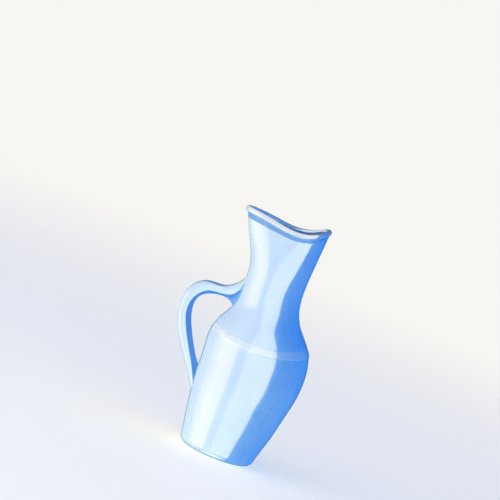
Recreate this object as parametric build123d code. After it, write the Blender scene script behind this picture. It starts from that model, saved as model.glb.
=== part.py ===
"""Female urine bottle: a moulded bottle with a leaning neck, a saddle-shaped mouth and a side handle.

The bottle stands on its foot ring at z = 0, with the origin at the middle of that ring. The handle is on
the -X side, and the bottle is the same on both sides of the XZ plane. All sizes are in millimetres.

Five pieces: the reservoir, the neck that is welded onto it, the raised band over that weld, the rounded
bead round the mouth, and the handle.
"""
import math
import os
from build123d import *

# Outside of the bottle: its level section at evenly spaced heights, from below the foot to above the mouth,
# where both are cut off. Each is (middle's x, half length along X, half width along Y, egg). With egg 0 the
# section is an ellipse; with egg 1 it narrows to a spout on the handle's side and is blunt on the other.
STATION_BASE = -23.0
STATION_STEP = 20.0
STATIONS = [
    (0.0, 37.5, 36.5, 0.0),
    (0.0, 39.5, 38.5, 0.0),
    (0.0, 42.5, 41.5, 0.0),
    (1.0, 47.0, 45.5, 0.0),
    (1.5, 50.5, 49.0, 0.0),
    (2.5, 53.5, 52.0, 0.0),
    (3.0, 55.0, 53.5, 0.0),
    (1.5, 55.0, 53.5, 0.0),
    (0.5, 48.5, 47.0, 0.0),
    (-3.0, 35.5, 34.5, 0.0),
    (-7.0, 31.5, 30.5, 0.0),
    (-8.5, 31.5, 30.5, 0.1),
    (-12.0, 35.5, 32.0, 0.35),
    (-16.5, 41.0, 33.0, 0.65),
    (-20.5, 45.5, 33.0, 0.9),
    (-24.0, 49.0, 33.0, 1.0),
]
EGG_SLANT = 0.62
EGG_BLUNTNESS = 0.48
EGG_SLIMMING = 0.3
SECTION_POINTS = 20

# Walls and foot
WALL = 2.2
FLOOR = 3.6
FOOT_EDGE_RADIUS = 9.0
FLOOR_EDGE_RADIUS = 7.0
FOOT_RECESS_RADIUS = 26.5
FOOT_RECESS_DEPTH = 1.2

# Saddle-shaped mouth, seen from the side: the middle of its bead, as (x, z)
MOUTH_LINE = [(-80.0, 251.5), (-61.0, 251.0), (-36.0, 249.0), (-12.0, 246.5), (9.0, 250.0), (25.0, 259.5),
              (40.0, 270.0)]
BEAD_OVERHANG = 2.0      # how far the bead stands out from the wall, outside and inside
BEAD_BELOW = 3.1         # how far it reaches below and above the mouth line
BEAD_ABOVE = 3.1
BEAD_EDGE_RADIUS = 2.4

# Weld between reservoir and neck: an arc seen from the side, through these (x, z)
WELD_LINE = [(-72.0, 130.5), (0.0, 123.5), (72.0, 142.5)]
TONGUE_DEPTH = 5.0       # the neck's inner half of wall reaches this far into the reservoir's rebate
BAND_HEIGHT = 8.4
BAND_STANDS_OUT = 0.9
BAND_EDGE_RADIUS = 0.6

# Handle, seen from the side, as (x, z), each edge from the neck down to the reservoir: its outer edge, the
# crease where the flat sides end, and its inner edge. From crease to inner edge the sides slope inwards.
HANDLE_OUTER = [(-36.0, 194.0), (-43.0, 176.5), (-56.5, 167.5), (-74.0, 165.5), (-89.0, 152.5),
                (-92.2, 134.0), (-84.5, 107.5), (-68.5, 83.0), (-46.0, 48.5)]
HANDLE_CREASE = [(-36.0, 185.0), (-38.5, 176.0), (-44.7, 163.3), (-58.5, 159.0), (-70.5, 156.8),
                 (-79.5, 148.5), (-83.6, 131.5), (-78.0, 114.0), (-66.0, 92.5), (-54.5, 73.0),
                 (-46.0, 50.0)]
HANDLE_INNER = [(-37.0, 140.0), (-46.0, 155.2), (-63.3, 155.2), (-76.3, 147.0), (-78.1, 131.0),
                (-71.0, 112.0), (-57.8, 89.0), (-46.0, 73.5)]
HANDLE_WIDTH = 18.0
HANDLE_INNER_WIDTH = 8.0
HANDLE_EDGE_RADIUS = 6.0
HAIR = 0.25              # width of a sloping side's far end, where it meets the crease

# Cutting blocks reach past the bottle on every side
REACH = 90.0
TOP = 300.0


# ---- shapes the pieces are cut from ----

def wall_slope(index):
    """How far the wall runs outwards for each millimetre upwards, at one station."""
    low = max(index - 1, 0)
    high = min(index + 1, len(STATIONS) - 1)
    return (STATIONS[high][1] - STATIONS[low][1]) / ((high - low) * STATION_STEP)


def section_point(station, turn, grow):
    """A point of a level section, moved out square to its line by grow. Turn 0 is the +X end."""
    middle_x, half_x, half_y, egg = station
    cosine = math.cos(turn)
    sine = math.sin(turn)
    width = 1 + egg * (EGG_SLANT * cosine + EGG_BLUNTNESS * cosine ** 2 - EGG_SLIMMING)
    widening = -egg * sine * (EGG_SLANT + 2 * EGG_BLUNTNESS * cosine)
    along_x = -half_x * sine
    along_y = half_y * (cosine * width + sine * widening)
    length = math.hypot(along_x, along_y)
    x = middle_x + half_x * cosine + grow * along_y / length
    y = half_y * sine * width - grow * along_x / length
    return x, y


def vessel(offset):
    """The whole bottle's shape as a solid, with its surface moved out by offset (in, if negative)."""
    turns = [2 * math.pi * step / SECTION_POINTS for step in range(SECTION_POINTS)]
    evenly = [step / SECTION_POINTS for step in range(SECTION_POINTS + 1)]
    sections = []
    for index, station in enumerate(STATIONS):
        grow = offset * math.hypot(1, wall_slope(index))
        height = STATION_BASE + index * STATION_STEP
        points = [(*section_point(station, turn, grow), height) for turn in turns]
        outline = Edge.make_spline(points, periodic=True, parameters=evenly)
        sections.append(Face(Wire([outline])))
    return loft(sections)


def side_edge(points):
    """A smooth edge seen from the side."""
    return Spline(*[(x, 0, z) for x, z in points])


def closed_between(first, second):
    """The outline between two edges that run the same way."""
    return [first, Line(first @ 1, second @ 1), second, Line(second @ 0, first @ 0)]


def side_slab(edges, width=2 * REACH):
    """A closed outline seen from the side, drawn right across the bottle along Y."""
    return Pos(0, -width / 2, 0) * extrude(make_face(edges), amount=width, dir=(0, 1, 0))


def slab_between(low_edge, high_edge):
    """The slab across the bottle between two edges seen from the side, both drawn towards +X."""
    return side_slab(closed_between(low_edge, high_edge))


def weld_edge(rise):
    """The weld line, moved up by rise."""
    return ThreePointArc(*[(x, 0, z + rise) for x, z in WELD_LINE])


def mouth_edge(rise):
    """The mouth line, moved up by rise."""
    return side_edge([(x, z + rise) for x, z in MOUTH_LINE])


def level_edge(height, like):
    """A level line as wide as another edge."""
    return Line((like[0][0], 0, height), (like[-1][0], 0, height))


def above(height):
    """Everything above a level."""
    return Pos(0, 0, (height + TOP) / 2) * Box(4 * REACH, 4 * REACH, TOP - height)


def far_half():
    """Everything on the +Y side of the bottle's plane of symmetry."""
    return Pos(0, REACH, 0) * Box(4 * REACH, 2 * REACH, 2 * TOP)


def both_sides(half):
    """A piece made whole from its +Y half."""
    return half + mirror(half, Plane.XZ)


def bottle_wall():
    """Wall and floor in one, from the foot to above the mouth."""
    outside = vessel(0) & above(0)
    outside = fillet(outside.edges().group_by(Axis.Z)[0], FOOT_EDGE_RADIUS)
    inside = vessel(-WALL) & above(FLOOR)
    inside = fillet(inside.edges().group_by(Axis.Z)[0], FLOOR_EDGE_RADIUS)
    foot_recess = Cylinder(FOOT_RECESS_RADIUS, 2 * FOOT_RECESS_DEPTH)
    return outside - inside - foot_recess


def tongue():
    """The inner half of the wall for a short way below the weld line."""
    ring = vessel(-WALL / 2) - vessel(-WALL)
    return ring & slab_between(weld_edge(-TONGUE_DEPTH), weld_edge(0))


# ---- the five pieces ----

def reservoir_shell():
    """Cup below the weld line, with a rebate in its rim for the neck's tongue."""
    to_weld = slab_between(level_edge(-TONGUE_DEPTH, WELD_LINE), weld_edge(0))
    return (bottle_wall() & to_weld) - tongue()


def neck_shell():
    """Shoulder and leaning neck up to the mouth line, with the tongue below."""
    to_mouth = slab_between(weld_edge(0), level_edge(STATION_STEP * (len(STATIONS) - 2) + STATION_BASE, WELD_LINE))
    over_mouth = slab_between(mouth_edge(0), level_edge(TOP, MOUTH_LINE))
    return (bottle_wall() & to_mouth) - over_mouth + tongue()


def shoulder_weld_band():
    """Raised band round the outside, over the weld."""
    strip = slab_between(weld_edge(-BAND_HEIGHT / 2), weld_edge(BAND_HEIGHT / 2))
    half = ((vessel(BAND_STANDS_OUT) & strip) - vessel(0)) & far_half()
    arcs = half.edges().filter_by(lambda edge: edge.length > 2 * BAND_HEIGHT)
    outermost_first = sorted(arcs, key=lambda edge: edge.length, reverse=True)
    top_arcs = [edge for edge in outermost_first if edge.center().Z > WELD_LINE[1][1]]
    low_arcs = [edge for edge in outermost_first if edge.center().Z < WELD_LINE[1][1]]
    return both_sides(fillet([top_arcs[0], low_arcs[0]], BAND_EDGE_RADIUS))


def mouth_rim(neck):
    """Rounded bead round the mouth, with a groove that takes the top of the neck's wall."""
    ring = vessel(BEAD_OVERHANG) - vessel(-WALL - BEAD_OVERHANG)
    half = ring & slab_between(mouth_edge(-BEAD_BELOW), mouth_edge(BEAD_ABOVE)) & far_half()
    arcs = half.edges().filter_by(lambda edge: edge.length > 4 * (BEAD_BELOW + BEAD_ABOVE))
    return both_sides(fillet(arcs, BEAD_EDGE_RADIUS)) - neck


def handle():
    """Looped strap with a rounded back, sides that slope in towards the fingers, and ends shaped to the wall."""
    outer = side_edge(HANDLE_OUTER)
    crease = side_edge(HANDLE_CREASE)
    inner = side_edge(HANDLE_INNER)
    strap = side_slab(closed_between(outer, crease), HANDLE_WIDTH)
    back_edges = strap.edges().filter_by(lambda edge: abs(edge.length - outer.length) < 0.01)
    strap = fillet(back_edges, HANDLE_EDGE_RADIUS)
    core = side_slab(closed_between(crease, inner), HANDLE_INNER_WIDTH)
    core_side = Pos(0, HANDLE_INNER_WIDTH / 2, 0) * make_face(closed_between(crease, inner))
    crease_side = Pos(0, HANDLE_WIDTH / 2, 0) * make_face(closed_between(crease, Pos(HAIR, 0, 0) * crease))
    slope = loft([core_side, crease_side], ruled=True)
    return strap + core + both_sides(slope) - vessel(0)


def save(node, shape):
    """Writes one piece, which has to be one solid."""
    (solid,) = shape.solids()
    solid.label = node
    export_step(solid, os.path.join("parts", node + ".step"))


def main():
    """Builds and writes every piece."""
    os.makedirs("parts", exist_ok=True)
    neck = neck_shell()
    save("reservoir_shell", reservoir_shell())
    save("neck_shell", neck)
    save("shoulder_weld_band", shoulder_weld_band())
    save("mouth_rim", mouth_rim(neck))
    save("handle", handle())


if __name__ == "__main__":
    main()
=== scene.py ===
"""Looks of the urine bottle: pale-blue moulded plastic in soft studio light, seen at the picture's angle."""
import math

import bmesh
import bpy
from mathutils import Matrix, Vector
from mathutils.bvhtree import BVHTree
import numpy as np


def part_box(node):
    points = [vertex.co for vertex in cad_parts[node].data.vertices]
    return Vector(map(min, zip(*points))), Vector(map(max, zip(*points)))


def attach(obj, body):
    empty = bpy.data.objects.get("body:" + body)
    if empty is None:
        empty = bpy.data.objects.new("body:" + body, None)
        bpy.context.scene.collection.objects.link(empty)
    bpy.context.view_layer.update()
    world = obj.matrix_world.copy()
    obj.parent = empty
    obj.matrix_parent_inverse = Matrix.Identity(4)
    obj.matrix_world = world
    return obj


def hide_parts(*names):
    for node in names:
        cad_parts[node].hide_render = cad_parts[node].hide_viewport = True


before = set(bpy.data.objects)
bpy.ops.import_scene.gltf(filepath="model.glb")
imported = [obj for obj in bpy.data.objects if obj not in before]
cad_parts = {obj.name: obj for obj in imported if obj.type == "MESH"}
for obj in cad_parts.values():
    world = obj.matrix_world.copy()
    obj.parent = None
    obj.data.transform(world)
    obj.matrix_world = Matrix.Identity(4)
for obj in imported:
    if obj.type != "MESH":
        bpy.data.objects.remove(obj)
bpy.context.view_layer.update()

# All lengths are in metres, and colours are linear RGB.

# Camera: how the bottle stands in the square frame
LENS = 200.0
SENSOR = 36.0
VIEW_END = 20.0
LEAN = math.radians(22.0)            # the bottle leans this far to the right in the picture
ELEVATION = math.radians(5.5)        # the camera looks down on it by this much
FRAME_WIDTH = 0.521                  # across the frame, at the bottle
FOOT_LEFT = 0.0366                   # the foot's middle is this far left of the frame's middle
FOOT_BELOW = 0.2119                  # and this far below it

# Plastics
PALE_BLUE = (0.29, 0.55, 0.77)
# Painted light: the rim's bead is a greyer, whiter-looking copy of the body's blue, standing in for the light
# that falls on it.
LIP_LIT_BLUE = (0.40, 0.54, 0.62)
# Painted highlight: the weld band is a paler copy of the body's blue.
BAND_LIT_BLUE = (0.50, 0.65, 0.78)
# Painted shade: the skirt under the bead is a deeper copy of the body's blue, standing in for the bead's
# shadow.
SKIRT_SHADE_BLUE = (0.20, 0.50, 0.90)
# The deeper tone that clouds and specks turn to, and also the colour of painted shade in hollows.
DEEP_BLUE = (0.01, 0.20, 0.78)
# Painted shade: the handle's inner flanks are a deeper copy of the body's blue.
FLANK_SHADE_BLUE = (0.10, 0.38, 0.82)
WORN_EDGE = (0.62, 0.76, 0.90)
COAT_ROUGHNESS = 0.06
COAT_IOR = 1.8
SPECULAR_LEVEL = 0.8

# Noises in the plastic: features to the metre, and detail
CLOUDS = (22.0, 4.0)
SPECKS = (1500.0, 1.0)
SCUFFS = (60.0, 6.0)
SCRATCHES = (700.0, 3.0)
WAVES = (28.0, 1.0)
PEEL = (900.0, 2.0)
SCUFF_STRETCH = (1.0, 1.0, 0.25)     # scuffs and scratches run upright
SCRATCH_STRETCH = (1.0, 1.0, 0.03)
WAVE_DEPTH = 0.0004
PEEL_DEPTH = 0.00002

# How a noise, or how open the surface is, maps to a result: from, to, and the result at each
CLOUD_RANGE = (0.35, 0.70, 0.0, 0.22)
SPECK_RANGE = (0.72, 0.80, 0.0, 0.10)
# Painted shade: how closed in the surface is turns the colour deeper.
RECESS_SHADE_RANGE = (0.50, 0.90, 1.0, 0.0)
WEAR_RANGE = (0.10, 0.75, 0.35, 0.0)
SCRATCH_RANGE = (0.62, 0.72, 0.0, 0.05)
SCUFF_NOISE = (0.3, 0.7)
SCUFF_LESS = 0.05                    # scuffs make the roughness this much less, or this much more
SCUFF_MORE = 0.07
EDGE_WEAR = 0.0012                   # about how wide a worn edge is
EDGE_SAMPLES = 6
RECESS_SHADE_SAMPLES = 8

# Rings built here. Their heights are from the middle of the CAD model's ring, and a place stands
# proud of the CAD model's wall.
RAY_START = 0.2                      # rays at the wall start this far from the middle
RING_STEPS = 192
RING_DEPTH = 0.0008                  # a ring's hidden back is this far inside the wall

# Rim: a round bead, open towards the wall, and the skirt below it
BEAD_RADIUS = 0.00305
BEAD_TAPER = 0.00035                 # thicker than that over the handle, and thinner at the lip
BEAD_SIDES = 22
BEAD_FROM = -62                      # round the bead, in degrees upwards from straight out
BEAD_TO = 236
SKIRT_SIDES = 4
SKIRT_HEIGHT = 0.0042
SKIRT_TAPER = 0.0008                 # taller than that over the handle, and lower at the lip
SKIRT_PROUD = 0.0003
SKIRT_BEVEL = 0.0003
SKIRT_OVERLAP = 0.0002               # the skirt's top is this far above the bead's foot

# Weld band: height and how proud, from its top down
BAND_PROFILE = [(0.0042, -RING_DEPTH), (0.0042, 0.0), (0.0034, 0.0001), (0.0020, 0.00038),
                (0.0004, 0.00068), (-0.0012, 0.00086), (-0.0026, 0.0009), (-0.0035, 0.0008),
                (-0.0040, 0.0005), (-0.0042, 0.0), (-0.0042, -RING_DEPTH)]
BAND_LEAST = 0.12                    # over the handle it is this share as proud
BAND_FADE = 6                        # how late it fades on its way there

# Handle
LOOP_SHARE = 0.52                    # where the loop's middle is between the corners of the handle's box
FLAT_SIDE = 0.985                    # past this share of the half width, a face isn't on a flank
CRISP_ANGLE = math.radians(18)

# Floor
FLOOR_COLOUR = (0.97, 0.86, 0.70)
FLOOR_ROUGHNESS = 0.7
FLOOR_LIGHT = (1.0, 0.92, 0.78)
FLOOR_LIGHT_STRENGTH = 0.45
FLOOR_RADIUS = 4.0
FLOOR_SIDES = 64
FLOOR_FADE = (0.3, 2.2)              # from the middle of the floor, where it starts and ends

# Lamps: azimuth, elevation and distance from the bottle's middle, then size, power and colour.
# Azimuth 0 is in front of the bottle, and positive azimuths are to its right.
MIDDLE = Vector((0, 0, 0.13))
LAMPS = {"key_box": ((-48, 38, 1.6), (0.9, 0.9), 4.5, (1.0, 0.98, 0.95)),
         "front_box": ((-15, 30, 2.2), (1.6, 1.2), 3.2, (1.0, 1.0, 1.0))}

# Studio, as the camera sees it
BACKDROP = (0.93, 0.92, 0.89)

# Studio, as diffuse light sees it: colour by azimuth
SOFT_STRENGTH = 1.1
SOFT_PANELS = [(-180, (0.22, 0.25, 0.30)), (-100, (0.30, 0.31, 0.33)), (-60, (0.22, 0.22, 0.22)),
               (-15, (0.22, 0.22, 0.22)), (45, (0.0, 0.29, 0.98)), (140, (0.0, 0.23, 0.92)),
               (180, (0.18, 0.20, 0.24))]

# Studio, as reflections see it: colour and power by azimuth, and the most power by a direction's Z
GLOSS_STRENGTH = 13.6
GLOSS_PANELS = [(-180, (0.35, 0.60, 1.0)), (-150, (0.80, 0.90, 1.0)), (-100, (1.0, 0.95, 0.88)),
                (43, (1.0, 0.95, 0.88)), (46, (0.04, 0.35, 1.0)), (150, (0.02, 0.25, 0.90)),
                (180, (0.30, 0.60, 1.0))]
GLOSS_POWER = [(-180, 0.02), (-168, 0.03), (-150, 0.10), (-110, 0.20), (-74, 0.26), (-41, 0.26),
               (-40, 0.25), (-21, 0.25), (-17, 0.32), (42, 0.32), (47, 0.12), (140, 0.10),
               (160, 0.04), (180, 0.02)]
GLOSS_CEILING = [(-1.0, 0.15), (-0.90, 0.15), (-0.60, 0.40)]

# A cream strip on the left, by azimuth and by Z, and a glow from straight below, by Z
STRIP_COLOUR = (1.0, 0.66, 0.12)
STRIP_POWER = [(-108, 0.0), (-102, 0.05), (-74, 0.13), (-43, 0.13), (-40, 0.0)]
STRIP_HEIGHT = [(-0.75, 0.0), (-0.60, 1.0), (0.10, 1.0), (0.40, 0.0)]
GLOW_COLOUR = (0.90, 0.96, 1.0)
GLOW_HEIGHT = [(-1.0, 0.26), (-0.975, 0.26), (-0.93, 0.0)]


def camera():
    """A long lens that looks a little down on the bottle, rolled so that the bottle leans."""
    right_level = Vector((1, 0, 0))
    up_level = Vector((0, math.sin(ELEVATION), math.cos(ELEVATION)))
    forward = Vector((0, math.cos(ELEVATION), -math.sin(ELEVATION)))
    right = math.cos(LEAN) * right_level + math.sin(LEAN) * up_level
    up = math.cos(LEAN) * up_level - math.sin(LEAN) * right_level
    target = FOOT_LEFT * right + FOOT_BELOW * up
    distance = FRAME_WIDTH * LENS / SENSOR
    data = bpy.data.cameras.new("camera")
    data.lens = LENS
    data.sensor_width = SENSOR
    data.clip_end = VIEW_END
    view = bpy.data.objects.new("camera", data)
    axes = Matrix((right, up, -forward)).transposed().to_4x4()
    view.matrix_world = Matrix.Translation(target - distance * forward) @ axes
    bpy.context.scene.collection.objects.link(view)
    bpy.context.scene.camera = view


def around(azimuth, elevation, distance):
    """A place round the bottle's middle, from angles in degrees."""
    turn = math.radians(azimuth)
    lift = math.radians(elevation)
    level = distance * math.cos(lift)
    return MIDDLE + Vector((level * math.sin(turn), -level * math.cos(turn), distance * math.sin(lift)))


def lamp(name, place, size, power, colour):
    """A soft box that faces the bottle's middle. Reflections don't see it."""
    data = bpy.data.lights.new(name, "AREA")
    data.shape = "RECTANGLE"
    data.size, data.size_y = size
    data.energy = power
    data.color = colour
    light = bpy.data.objects.new(name, data)
    light.location = place
    light.rotation_euler = (MIDDLE - place).to_track_quat("-Z", "Y").to_euler()
    light.visible_glossy = False
    bpy.context.scene.collection.objects.link(light)


def lamps():
    """The soft boxes on the left and in front."""
    for name, (place, size, power, colour) in LAMPS.items():
        lamp(name, around(*place), size, power, colour)


def node(tree, kind, **settings):
    """Adds a shader node, with its properties set."""
    made = tree.nodes.new(kind)
    for name, value in settings.items():
        setattr(made, name, value)
    return made


def feed(tree, socket, value):
    """Gives a socket a number, a colour or another node's output."""
    if isinstance(value, tuple):
        socket.default_value = (*value, 1.0)
    elif isinstance(value, (int, float)):
        socket.default_value = value
    else:
        tree.links.new(value, socket)


def math_node(tree, operation, *values):
    """A sum, product or other working on the values."""
    made = node(tree, "ShaderNodeMath", operation=operation)
    for socket, value in zip(made.inputs, values):
        feed(tree, socket, value)
    return made.outputs[0]


def ramp(tree, fac, stops):
    """A ramp over fac, from stops of a place from 0 to 1 and a colour or a grey level."""
    made = node(tree, "ShaderNodeValToRGB")
    elements = made.color_ramp.elements
    while len(elements) < len(stops):
        elements.new(0.5)
    for element, (place, value) in zip(elements, stops):
        colour = value if isinstance(value, tuple) else (value, value, value)
        element.position = place
        element.color = (*colour, 1.0)
    tree.links.new(fac, made.inputs["Fac"])
    return made.outputs["Color"]


def turn_ramp(tree, turn, stops):
    """A ramp by azimuth in degrees, from behind the bottle, by its left, back to behind."""
    return ramp(tree, turn, [((azimuth + 180) / 360, value) for azimuth, value in stops])


def height_ramp(tree, height, stops):
    """A ramp by a direction's Z, from -1, straight down, to 1."""
    return ramp(tree, height, [((z + 1) / 2, value) for z, value in stops])


def background(tree, colour, strength):
    """Light from the surroundings."""
    made = node(tree, "ShaderNodeBackground")
    feed(tree, made.inputs["Color"], colour)
    feed(tree, made.inputs["Strength"], strength)
    return made.outputs[0]


def added(tree, first, second):
    """Both lights together."""
    made = node(tree, "ShaderNodeAddShader")
    tree.links.new(first, made.inputs[0])
    tree.links.new(second, made.inputs[1])
    return made.outputs[0]


def chosen(tree, test, otherwise, light):
    """One light for the rays that pass the test, and otherwise the other."""
    made = node(tree, "ShaderNodeMixShader")
    tree.links.new(test, made.inputs["Fac"])
    tree.links.new(otherwise, made.inputs[1])
    tree.links.new(light, made.inputs[2])
    return made.outputs[0]


def ray_direction(tree):
    """A ray's azimuth and its Z, both as places from 0 to 1 on a ramp."""
    split = node(tree, "ShaderNodeSeparateXYZ")
    tree.links.new(node(tree, "ShaderNodeTexCoord").outputs["Generated"], split.inputs[0])
    depth = math_node(tree, "MULTIPLY", split.outputs["Y"], -1.0)
    azimuth = math_node(tree, "ARCTAN2", split.outputs["X"], depth)
    turn = math_node(tree, "MULTIPLY_ADD", azimuth, 1 / math.tau, 0.5)
    height = math_node(tree, "MULTIPLY_ADD", split.outputs["Z"], 0.5, 0.5)
    return turn, height


def gloss_light(tree, turn, height):
    """What reflections see: the panels, the cream strip and the glow from below."""
    power = turn_ramp(tree, turn, GLOSS_POWER)
    power = math_node(tree, "MINIMUM", power, height_ramp(tree, height, GLOSS_CEILING))
    power = math_node(tree, "MULTIPLY", power, GLOSS_STRENGTH)
    panels = background(tree, turn_ramp(tree, turn, GLOSS_PANELS), power)
    power = turn_ramp(tree, turn, STRIP_POWER)
    power = math_node(tree, "MULTIPLY", power, height_ramp(tree, height, STRIP_HEIGHT))
    power = math_node(tree, "MULTIPLY", power, GLOSS_STRENGTH)
    strip = background(tree, STRIP_COLOUR, power)
    power = math_node(tree, "MULTIPLY", height_ramp(tree, height, GLOW_HEIGHT), GLOSS_STRENGTH)
    glow = background(tree, GLOW_COLOUR, power)
    return added(tree, added(tree, panels, strip), glow)


def surroundings():
    """A studio round the bottle, pale on its left and in front, and blue on its right. The camera
    sees only a backdrop, diffuse light is soft and dim, and reflections see bright crisp panels."""
    world = bpy.data.worlds.new("studio")
    world.use_nodes = True
    bpy.context.scene.world = world
    tree = world.node_tree
    tree.nodes.clear()
    turn, height = ray_direction(tree)
    path = node(tree, "ShaderNodeLightPath")
    soft = background(tree, turn_ramp(tree, turn, SOFT_PANELS), SOFT_STRENGTH)
    unseen = chosen(tree, path.outputs["Is Glossy Ray"], soft, gloss_light(tree, turn, height))
    backdrop = background(tree, BACKDROP, 1.0)
    light = chosen(tree, path.outputs["Is Camera Ray"], unseen, backdrop)
    tree.links.new(light, node(tree, "ShaderNodeOutputWorld").inputs["Surface"])


def noise(tree, place, scale, detail, stretch=(1.0, 1.0, 1.0)):
    """Noise in the object's own space, with features about 1/scale metres across."""
    stretched = node(tree, "ShaderNodeMapping")
    stretched.inputs["Scale"].default_value = stretch
    tree.links.new(place, stretched.inputs["Vector"])
    made = node(tree, "ShaderNodeTexNoise")
    made.inputs["Scale"].default_value = scale
    made.inputs["Detail"].default_value = detail
    tree.links.new(stretched.outputs[0], made.inputs["Vector"])
    return made.outputs["Fac"]


def spread(tree, value, low, high, out_low, out_high):
    """Maps low..high to out_low..out_high, and holds it there."""
    made = node(tree, "ShaderNodeMapRange")
    tree.links.new(value, made.inputs["Value"])
    for name, number in (("From Min", low), ("From Max", high), ("To Min", out_low), ("To Max", out_high)):
        made.inputs[name].default_value = number
    return made.outputs["Result"]


def occlusion(tree, distance, samples, inside):
    """How open the surface is, from 0 to 1: outside for recesses, and inside for edges."""
    made = node(tree, "ShaderNodeAmbientOcclusion", samples=samples, only_local=True, inside=inside)
    made.inputs["Distance"].default_value = distance
    return made.outputs["AO"]


def blended(tree, amount, first, second):
    """Colour first, turning to second as amount goes from 0 to 1."""
    made = node(tree, "ShaderNodeMix", data_type="RGBA")
    feed(tree, made.inputs["Factor"], amount)
    feed(tree, made.inputs["A"], first)
    feed(tree, made.inputs["B"], second)
    return made.outputs["Result"]


def bumped(tree, height, distance, under=None):
    """A normal with height as relief, distance metres deep, on top of the normal under."""
    made = node(tree, "ShaderNodeBump")
    made.inputs["Strength"].default_value = 1.0
    made.inputs["Distance"].default_value = distance
    tree.links.new(height, made.inputs["Height"])
    if under:
        tree.links.new(under, made.inputs["Normal"])
    return made.outputs["Normal"]


def pigment_and_shade(tree, place, colour, deep, shade_reach):
    """Cloudy, finely speckled colour, paler on worn edges. Painted shade: where the surface is closed in
    within the given distance, it turns deeper.
    """
    clouds = spread(tree, noise(tree, place, *CLOUDS), *CLOUD_RANGE)
    made = blended(tree, clouds, colour, deep)
    specks = spread(tree, noise(tree, place, *SPECKS), *SPECK_RANGE)
    made = blended(tree, specks, made, deep)
    # Painted shade: closed-in places, such as the inside and under the rim, turn deeper.
    if shade_reach:
        shade = spread(tree, occlusion(tree, shade_reach, RECESS_SHADE_SAMPLES, inside=False), *RECESS_SHADE_RANGE)
        made = blended(tree, shade, made, deep)
    worn = spread(tree, occlusion(tree, EDGE_WEAR, EDGE_SAMPLES, inside=True), *WEAR_RANGE)
    return blended(tree, worn, made, WORN_EDGE)


def scuffed(tree, place, roughness):
    """Roughness with broad scuffs and fine scratches."""
    scuffs = noise(tree, place, *SCUFFS, stretch=SCUFF_STRETCH)
    rough = spread(tree, scuffs, *SCUFF_NOISE, roughness - SCUFF_LESS, roughness + SCUFF_MORE)
    scratches = noise(tree, place, *SCRATCHES, stretch=SCRATCH_STRETCH)
    return math_node(tree, "ADD", rough, spread(tree, scratches, *SCRATCH_RANGE))


def moulded_plastic(name, colour, deep, roughness, gloss=1.0, shade_reach=0.0):
    """Glossy moulded plastic, worn and scuffed, with the slow waves and the fine orange peel of a mould."""
    material = bpy.data.materials.new(name)
    material.use_nodes = True
    tree = material.node_tree
    shader = tree.nodes["Principled BSDF"]
    place = node(tree, "ShaderNodeTexCoord").outputs["Object"]
    waves = bumped(tree, noise(tree, place, *WAVES), WAVE_DEPTH)
    peel = bumped(tree, noise(tree, place, *PEEL), PEEL_DEPTH, waves)
    # The colour carries painted shade in hollows when a distance for it is given.
    tree.links.new(pigment_and_shade(tree, place, colour, deep, shade_reach), shader.inputs["Base Color"])
    tree.links.new(scuffed(tree, place, roughness), shader.inputs["Roughness"])
    tree.links.new(peel, shader.inputs["Normal"])
    tree.links.new(waves, shader.inputs["Coat Normal"])
    shader.inputs["Coat Weight"].default_value = gloss
    shader.inputs["Coat Roughness"].default_value = COAT_ROUGHNESS
    shader.inputs["Coat IOR"].default_value = COAT_IOR
    shader.inputs["Specular IOR Level"].default_value = SPECULAR_LEVEL * gloss
    return material


def floor_paint():
    """Pale paint that lights itself a little, and fades out far from the bottle."""
    material = bpy.data.materials.new("floor_paint")
    material.use_nodes = True
    tree = material.node_tree
    shader = tree.nodes["Principled BSDF"]
    shader.inputs["Base Color"].default_value = (*FLOOR_COLOUR, 1.0)
    shader.inputs["Roughness"].default_value = FLOOR_ROUGHNESS
    shader.inputs["Emission Color"].default_value = (*FLOOR_LIGHT, 1.0)
    shader.inputs["Emission Strength"].default_value = FLOOR_LIGHT_STRENGTH
    far = node(tree, "ShaderNodeVectorMath", operation="LENGTH")
    tree.links.new(node(tree, "ShaderNodeTexCoord").outputs["Object"], far.inputs[0])
    fade = spread(tree, far.outputs["Value"], *FLOOR_FADE, 1.0, 0.0)
    fade.node.interpolation_type = "SMOOTHSTEP"
    tree.links.new(fade, shader.inputs["Alpha"])
    return material


def floor():
    """A round pale floor that fades into the backdrop. Reflections don't see it."""
    mesh = bpy.data.meshes.new("floor")
    turns = [math.tau * side / FLOOR_SIDES for side in range(FLOOR_SIDES)]
    corners = [(FLOOR_RADIUS * math.cos(turn), FLOOR_RADIUS * math.sin(turn), 0) for turn in turns]
    mesh.from_pydata(corners, [], [tuple(range(FLOOR_SIDES))])
    mesh.materials.append(floor_paint())
    obj = bpy.data.objects.new("floor", mesh)
    obj.visible_glossy = False
    bpy.context.scene.collection.objects.link(obj)


def coat(piece, *materials):
    """Gives a piece its materials, in place of any that it has, and smooth shading."""
    if piece.data.materials:
        piece.data.materials.clear()
    for material in materials:
        piece.data.materials.append(material)
    for polygon in piece.data.polygons:
        polygon.use_smooth = True


def new_piece(name, mesh):
    """A piece of the visual model, in the scene."""
    piece = bpy.data.objects.new(name, mesh)
    bpy.context.scene.collection.objects.link(piece)
    return piece


def edge_ends(name):
    """Both ends of each edge of a CAD node, as an array of edges by ends by XYZ."""
    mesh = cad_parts[name].data
    corners = np.empty(len(mesh.vertices) * 3)
    mesh.vertices.foreach_get("co", corners)
    ends = np.empty(len(mesh.edges) * 2, dtype=int)
    mesh.edges.foreach_get("vertices", ends)
    return corners.reshape(-1, 3)[ends.reshape(-1, 2)]


def box_middle(name):
    """The middle of a CAD node's box."""
    low, high = (Vector(corner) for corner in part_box(name))
    return (low + high) / 2


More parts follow.
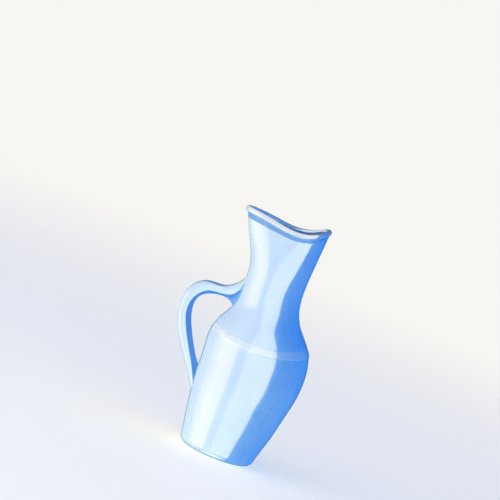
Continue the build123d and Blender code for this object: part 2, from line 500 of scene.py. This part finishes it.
def section_middle(ends, middle, turn):
    """The middle of the box round the cut of such edges by a half-plane, which stands on the
    upright line through middle at angle turn."""
    outward = np.array((math.cos(turn), math.sin(turn), 0.0))
    across = np.array((-math.sin(turn), math.cos(turn), 0.0))
    side = (ends - np.array(middle)) @ across
    cut = side[:, 0] * side[:, 1] < 0
    share = side[cut, 0] / (side[cut, 0] - side[cut, 1])
    places = ends[cut, 0] + share[:, None] * (ends[cut, 1] - ends[cut, 0])
    reach = (places - np.array(middle)) @ outward
    places = places[reach > 0]
    reach = reach[reach > 0]
    level = Vector((middle.x, middle.y, 0)) + Vector(outward) * (reach.min() + reach.max()) / 2
    return level + Vector((0, 0, (places[:, 2].min() + places[:, 2].max()) / 2))


def ring_path(name):
    """The middle of a CAD ring's box, the angles of the turns round it, and its section's middle at each."""
    ends = edge_ends(name)
    middle = box_middle(name)
    turns = [math.tau * (step + 0.5) / RING_STEPS for step in range(RING_STEPS)]
    return middle, turns, [section_middle(ends, middle, turn) for turn in turns]


def outer_skin():
    """The two shells as one tree to cast rays on."""
    mesh = bmesh.new()
    for name in ("reservoir_shell", "neck_shell"):
        mesh.from_mesh(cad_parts[name].data)
    tree = BVHTree.FromBMesh(mesh)
    mesh.free()
    return tree


def wall_place(skin, middle, turn, height, proud):
    """The place proud metres outside the wall, at angle turn round middle, at a height."""
    outward = Vector((math.cos(turn), math.sin(turn), 0))
    start = Vector((middle.x, middle.y, height)) + outward * RAY_START
    hit = skin.ray_cast(start, -outward)[0]
    return hit + outward * proud


def ring_mesh(name, rows, zones):
    """A closed ring from one closed profile of points at each turn. zones has each side's material."""
    sides = len(rows[0])
    mesh = bmesh.new()
    corners = [[mesh.verts.new(place) for place in row] for row in rows]
    for turn, row in enumerate(corners):
        following = corners[(turn + 1) % len(corners)]
        for side in range(sides):
            after = (side + 1) % sides
            face = mesh.faces.new((row[side], following[side], following[after], row[after]))
            face.material_index = zones[side]
    bmesh.ops.recalc_face_normals(mesh, faces=mesh.faces)
    data = bpy.data.meshes.new(name)
    mesh.to_mesh(data)
    mesh.free()
    return data


def bead_arc(centre, along, radius):
    """The bead's outline round centre, square to the way the mouth's edge runs there."""
    outward = Vector((along.y, -along.x, 0)).normalized()
    upward = outward.cross(along)
    arc = []
    for side in range(BEAD_SIDES + 1):
        angle = math.radians(BEAD_FROM + (BEAD_TO - BEAD_FROM) * side / BEAD_SIDES)
        arc.append(centre + radius * (math.cos(angle) * outward + math.sin(angle) * upward))
    return arc


def skirt_outline(skin, middle, turn, top):
    """The skirt's outline, from its hem up to the bead's foot at top."""
    hem = top - SKIRT_HEIGHT + SKIRT_TAPER * math.cos(turn)
    return [wall_place(skin, middle, turn, hem, -RING_DEPTH),
            wall_place(skin, middle, turn, hem, 0.0),
            wall_place(skin, middle, turn, hem + SKIRT_BEVEL, SKIRT_PROUD),
            wall_place(skin, middle, turn, top + SKIRT_OVERLAP, SKIRT_PROUD)]


def mouth_bead(skin, lip, skirt):
    """The rolled rim: a round bead on the mouth's edge, thicker over the handle, and the skirt below it."""
    middle, turns, path = ring_path("mouth_rim")
    rows = []
    for step, turn in enumerate(turns):
        centre = path[step]
        along = (path[(step + 1) % RING_STEPS] - path[step - 1]).normalized()
        radius = BEAD_RADIUS - BEAD_TAPER * math.cos(turn)
        rows.append(bead_arc(centre, along, radius) + skirt_outline(skin, middle, turn, centre.z - radius))
    zones = [0] * (BEAD_SIDES + 1) + [1] * SKIRT_SIDES
    piece = new_piece("rolled_mouth_rim", ring_mesh("rolled_mouth_rim", rows, zones))
    # The bead takes a painted-light plastic, and the skirt a painted-shade plastic.
    coat(piece, lip, skirt)
    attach(piece, "root")
    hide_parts("mouth_rim")


def band_outline(skin, middle, turn, centre):
    """The weld band's outline at one turn, less proud towards the handle."""
    fade = 0.5 - 0.5 * math.cos(turn)
    share = 1 - (1 - BAND_LEAST) * fade ** BAND_FADE
    return [wall_place(skin, middle, turn, centre.z + height, proud * share if proud > 0 else proud)
            for height, proud in BAND_PROFILE]


def weld_bead(skin, plastic):
    """The band over the shoulder's weld. It swells gently from above to a rounded lower edge,
    and it fades out towards the handle."""
    middle, turns, path = ring_path("shoulder_weld_band")
    rows = [band_outline(skin, middle, turn, centre) for turn, centre in zip(turns, path)]
    zones = [0] * len(BAND_PROFILE)
    piece = new_piece("moulded_weld_band", ring_mesh("moulded_weld_band", rows, zones))
    # The band's paler plastic is a painted highlight.
    coat(piece, plastic)
    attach(piece, "root")
    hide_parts("shoulder_weld_band")


def grip(outer, flank):
    """The CAD handle's shape with crisp edges, and painted shade in a deeper blue on the flanks, which slope
    in towards the loop's middle. Reflections don't see it."""
    low, high = (Vector(corner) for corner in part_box("handle"))
    loop = low + (high - low) * LOOP_SHARE
    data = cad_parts["handle"].data.copy()
    data.name = "moulded_handle"
    piece = new_piece("moulded_handle", data)
    # The second material, on the faces that slope in, is painted shade.
    coat(piece, outer, flank)
    for polygon in data.polygons:
        inward = loop - polygon.center
        inward.y = 0
        slant = Vector((polygon.normal.x, 0, polygon.normal.z))
        faces_in = slant.dot(inward) > 0
        beside = abs(polygon.center.y) > high.y * FLAT_SIDE
        polygon.material_index = 1 if faces_in and not beside else 0
    data.set_sharp_from_angle(angle=CRISP_ANGLE)
    piece.visible_glossy = False
    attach(piece, "root")
    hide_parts("handle")


bpy.context.scene.view_settings.view_transform = "Standard"
camera()
surroundings()
lamps()
floor()

# The shell's inside, the neck under the rim and the handle's joints get painted shade.
shell_plastic = moulded_plastic("bottle_plastic", PALE_BLUE, DEEP_BLUE, roughness=0.28, shade_reach=0.05)
# The rim's bead: a painted-light copy of the body's plastic.
lip_lit_plastic = moulded_plastic("rim_plastic", LIP_LIT_BLUE, PALE_BLUE, roughness=0.22)
# The skirt under the bead: a painted-shade copy of the body's plastic, with little gloss.
skirt_shade_plastic = moulded_plastic("rim_skirt_painted_shade", SKIRT_SHADE_BLUE, DEEP_BLUE, roughness=0.45, gloss=0.2)
grip_plastic = moulded_plastic("handle_plastic", PALE_BLUE, DEEP_BLUE, roughness=0.28)
# The handle's flanks: a painted-shade copy of the body's plastic, with less gloss.
flank_shade_plastic = moulded_plastic("handle_flank_painted_shade", FLANK_SHADE_BLUE, DEEP_BLUE, roughness=0.40, gloss=0.35)
# The weld band: a painted-highlight copy of the body's plastic.
band_lit_plastic = moulded_plastic("band_lit_plastic", BAND_LIT_BLUE, PALE_BLUE, roughness=0.26)

coat(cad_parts["reservoir_shell"], shell_plastic)
coat(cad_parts["neck_shell"], shell_plastic)
skin = outer_skin()
mouth_bead(skin, lip_lit_plastic, skirt_shade_plastic)
weld_bead(skin, band_lit_plastic)
grip(grip_plastic, flank_shade_plastic)
